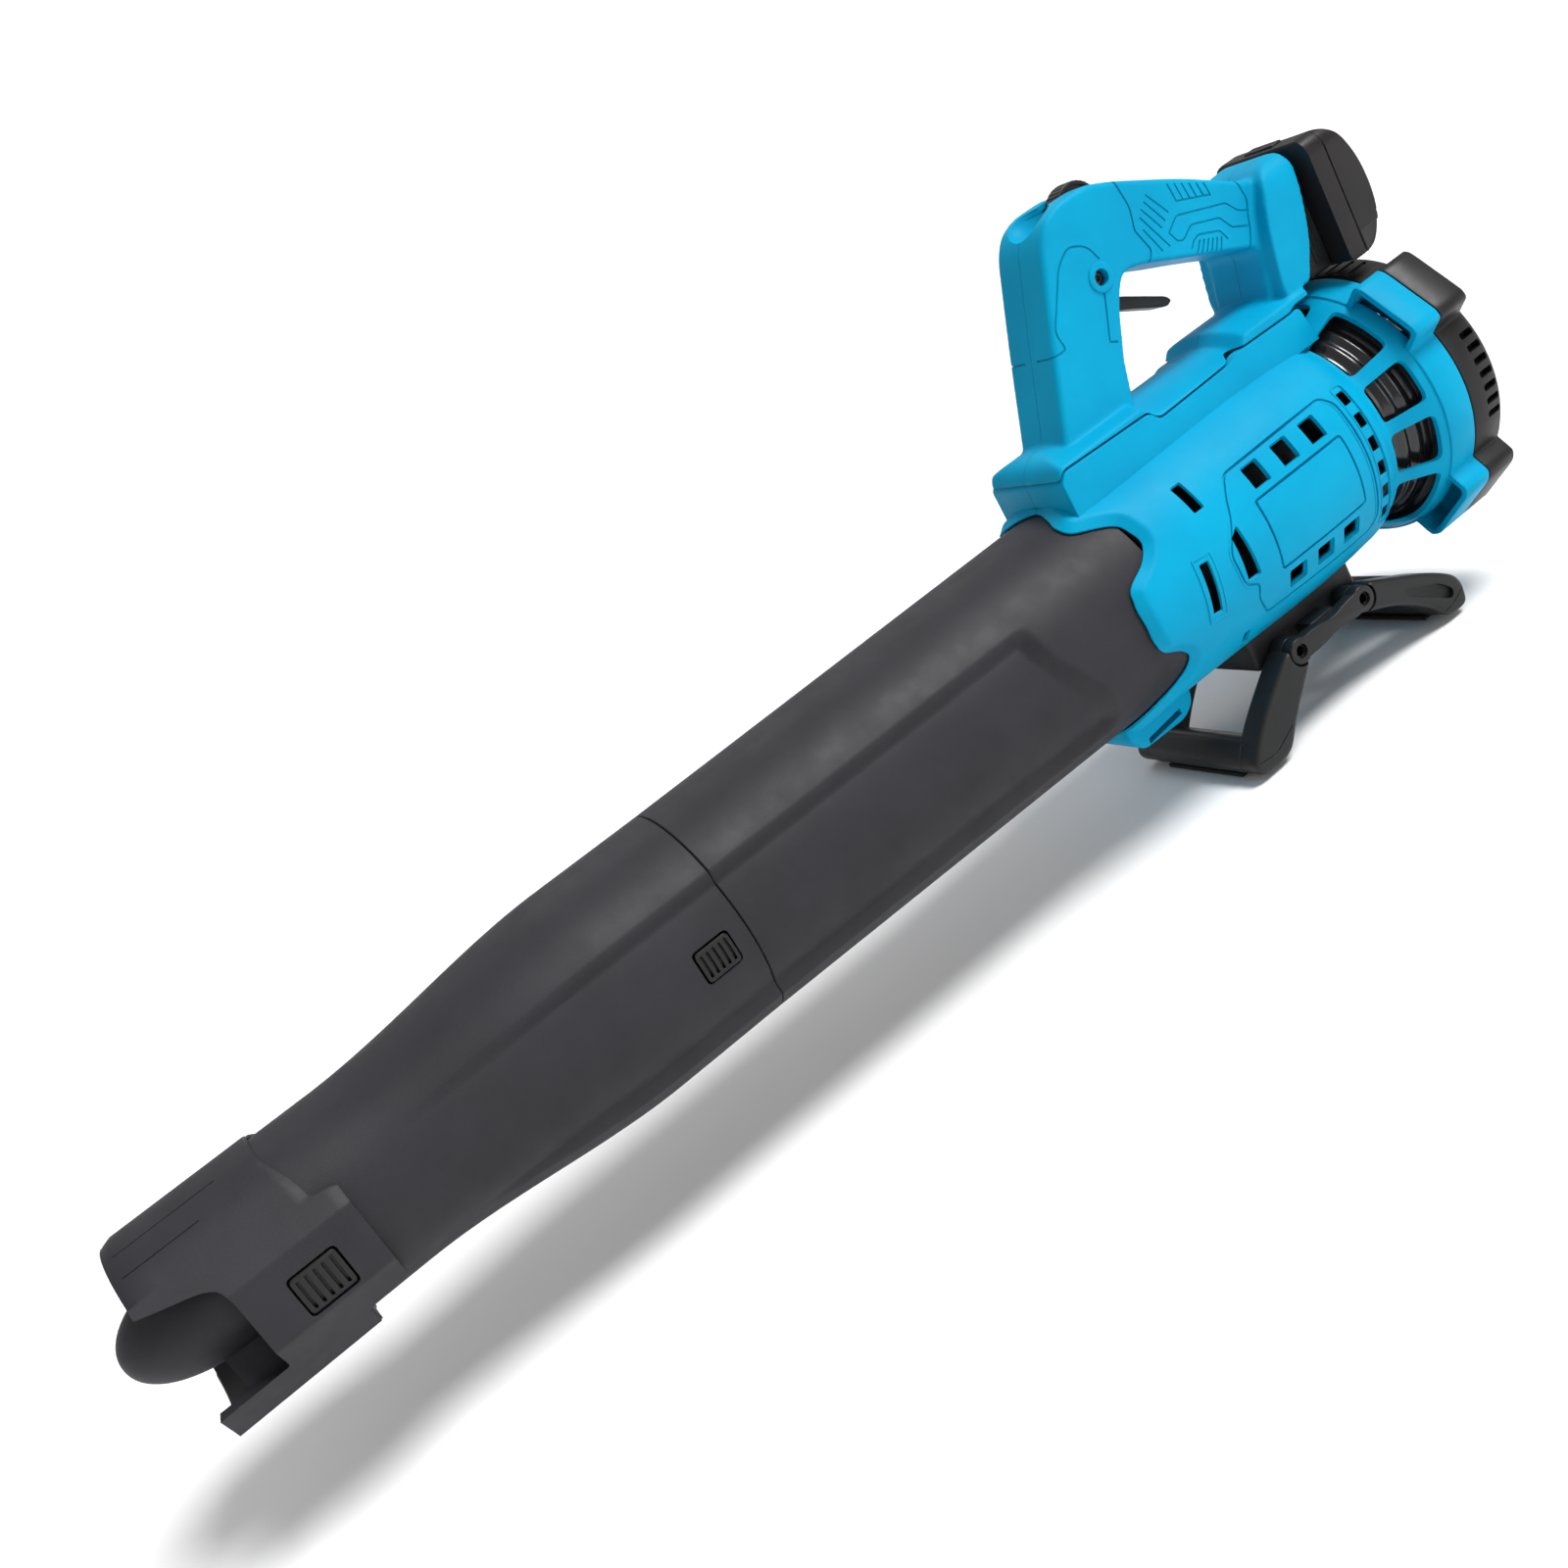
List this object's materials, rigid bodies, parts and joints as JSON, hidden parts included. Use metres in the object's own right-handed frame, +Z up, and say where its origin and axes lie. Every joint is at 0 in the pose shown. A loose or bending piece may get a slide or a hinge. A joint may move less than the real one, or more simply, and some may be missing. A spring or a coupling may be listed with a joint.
{
  "type": "leaf blower",
  "caption": "Cordless leaf blower: long two-piece air tube with a coned nozzle, vented barrel with axial fan, loop handle, slide-on battery and folding stand.",
  "frame": {"origin": "on the ground under the middle of the blower's length, on its mid plane", "axes": "+X along the air tube from the nozzle to the fan inlet, +Z up; -Y is the left side of a user who faces the nozzle"},
  "size_m": [0.9132, 0.168, 0.343],
  "materials": {
    "blue_plastic": "satin moulded",
    "charcoal_plastic": "fine matte texture",
    "black_plastic": "satin",
    "gloss_black_plastic": "gloss",
    "battery_plastic": "satin",
    "stand_plastic": "matte",
    "foot_rubber": "matte",
    "motor_steel": "brushed",
    "shaft_steel": "ground",
    "screw_steel": "black oxide",
    "copper_winding": "enamelled",
    "terminal_brass": "bright",
    "circuit_board": "satin",
    "cell_sleeve": "gloss"
  },
  "bodies": {
    "housing": {"rear_tube": "charcoal_plastic", "tube_coupler": "charcoal_plastic", "barrel_left": "blue_plastic", "barrel_right": "blue_plastic", "fan_duct": "black_plastic", "motor_mount": "black_plastic", "tail_cone": "black_plastic", "inlet_bellmouth": "gloss_black_plastic", "motor_can": "motor_steel", "motor_stator": "copper_winding", "front_bearing": "shaft_steel", "rear_bearing": "shaft_steel", "rear_cover": "black_plastic", "handle_left": "blue_plastic", "handle_right": "blue_plastic", "trigger_pin": "shaft_steel", "trigger_spring": "shaft_steel", "trigger_switch": "black_plastic", "dial_axle": "shaft_steel", "controller_board": "circuit_board", "handle_screw": "screw_steel", "battery_rail": "black_plastic", "terminal_blade_left": "terminal_brass", "terminal_blade_right": "terminal_brass", "stand_rail": "stand_plastic", "front_leg_pin_left": "shaft_steel", "front_leg_pin_right": "shaft_steel", "rear_leg_pin_left": "shaft_steel", "rear_leg_pin_right": "shaft_steel"},
    "front_air_tube": {"front_tube": "charcoal_plastic"},
    "nozzle_end": {"nozzle": "charcoal_plastic", "nozzle_cone": "charcoal_plastic"},
    "front_tube_button_left": {"front_tube_latch_left": "black_plastic"},
    "front_tube_button_right": {"front_tube_latch_right": "black_plastic"},
    "nozzle_button_left": {"nozzle_latch_left": "black_plastic"},
    "nozzle_button_right": {"nozzle_latch_right": "black_plastic"},
    "fan": {"fan_impeller": "black_plastic", "motor_shaft": "shaft_steel", "motor_rotor": "motor_steel"},
    "trigger_lever": {"trigger": "black_plastic"},
    "dial": {"speed_dial": "black_plastic"},
    "battery_pack": {"battery_base": "battery_plastic", "battery_cover": "battery_plastic", "battery_cell_1": "cell_sleeve", "battery_cell_2": "cell_sleeve", "battery_cell_3": "cell_sleeve", "battery_cell_4": "cell_sleeve"},
    "battery_button": {"battery_release": "battery_plastic"},
    "front_stand_leg": {"front_leg": "stand_plastic", "front_foot_pad": "foot_rubber"},
    "rear_stand_leg": {"rear_leg": "stand_plastic", "rear_foot_pad": "foot_rubber"}
  },
  "joints": [
    {"name": "front_tube_pull", "type": "slide", "parent": "housing", "child": "front_air_tube", "axis": [-1, 0, 0], "range_m": [0, 0.045]},
    {"name": "nozzle_pull", "type": "slide", "parent": "front_air_tube", "child": "nozzle_end", "axis": [-1, 0, 0], "range_m": [0, 0.05]},
    {"name": "front_tube_button_left_press", "type": "slide", "parent": "front_air_tube", "child": "front_tube_button_left", "axis": [0, 1, 0], "range_m": [0, 0.0025], "stiffness_N_per_m": 1200, "springref_m": -0.002},
    {"name": "front_tube_button_right_press", "type": "slide", "parent": "front_air_tube", "child": "front_tube_button_right", "axis": [0, -1, 0], "range_m": [0, 0.0025], "stiffness_N_per_m": 1200, "springref_m": -0.002},
    {"name": "nozzle_button_left_press", "type": "slide", "parent": "nozzle_end", "child": "nozzle_button_left", "axis": [0, 1, 0], "range_m": [0, 0.0025], "stiffness_N_per_m": 1200, "springref_m": -0.002},
    {"name": "nozzle_button_right_press", "type": "slide", "parent": "nozzle_end", "child": "nozzle_button_right", "axis": [0, -1, 0], "range_m": [0, 0.0025], "stiffness_N_per_m": 1200, "springref_m": -0.002},
    {"name": "fan_spin", "type": "hinge", "parent": "housing", "child": "fan", "pos_m": [0.31415, 0, 0.13], "axis": [1, 0, 0], "continuous": true},
    {"name": "trigger_pull", "type": "hinge", "parent": "housing", "child": "trigger_lever", "pos_m": [0.26415, 0, 0.272], "axis": [0, -1, 0], "range_deg": [0, 12], "stiffness_Nm_per_rad": 0.5, "springref_deg": -8.59},
    {"name": "dial_turn", "type": "hinge", "parent": "housing", "child": "dial", "pos_m": [0.29015, 0, 0.326], "axis": [0, 1, 0], "range_deg": [0, 140]},
    {"name": "battery_slide", "type": "slide", "parent": "housing", "child": "battery_pack", "axis": [0, 0, 1], "range_m": [0, 0.07]},
    {"name": "battery_button_press", "type": "slide", "parent": "battery_pack", "child": "battery_button", "axis": [0, 0, -1], "range_m": [0, 0.003], "stiffness_N_per_m": 900, "springref_m": -0.002},
    {"name": "front_leg_fold", "type": "hinge", "parent": "housing", "child": "front_stand_leg", "pos_m": [0.26215, 0, 0.0512], "axis": [0, 1, 0], "range_deg": [0, 25]},
    {"name": "rear_leg_fold", "type": "hinge", "parent": "housing", "child": "rear_stand_leg", "pos_m": [0.31765, 0, 0.0512], "axis": [0, -1, 0], "range_deg": [0, 15]}
  ]
}
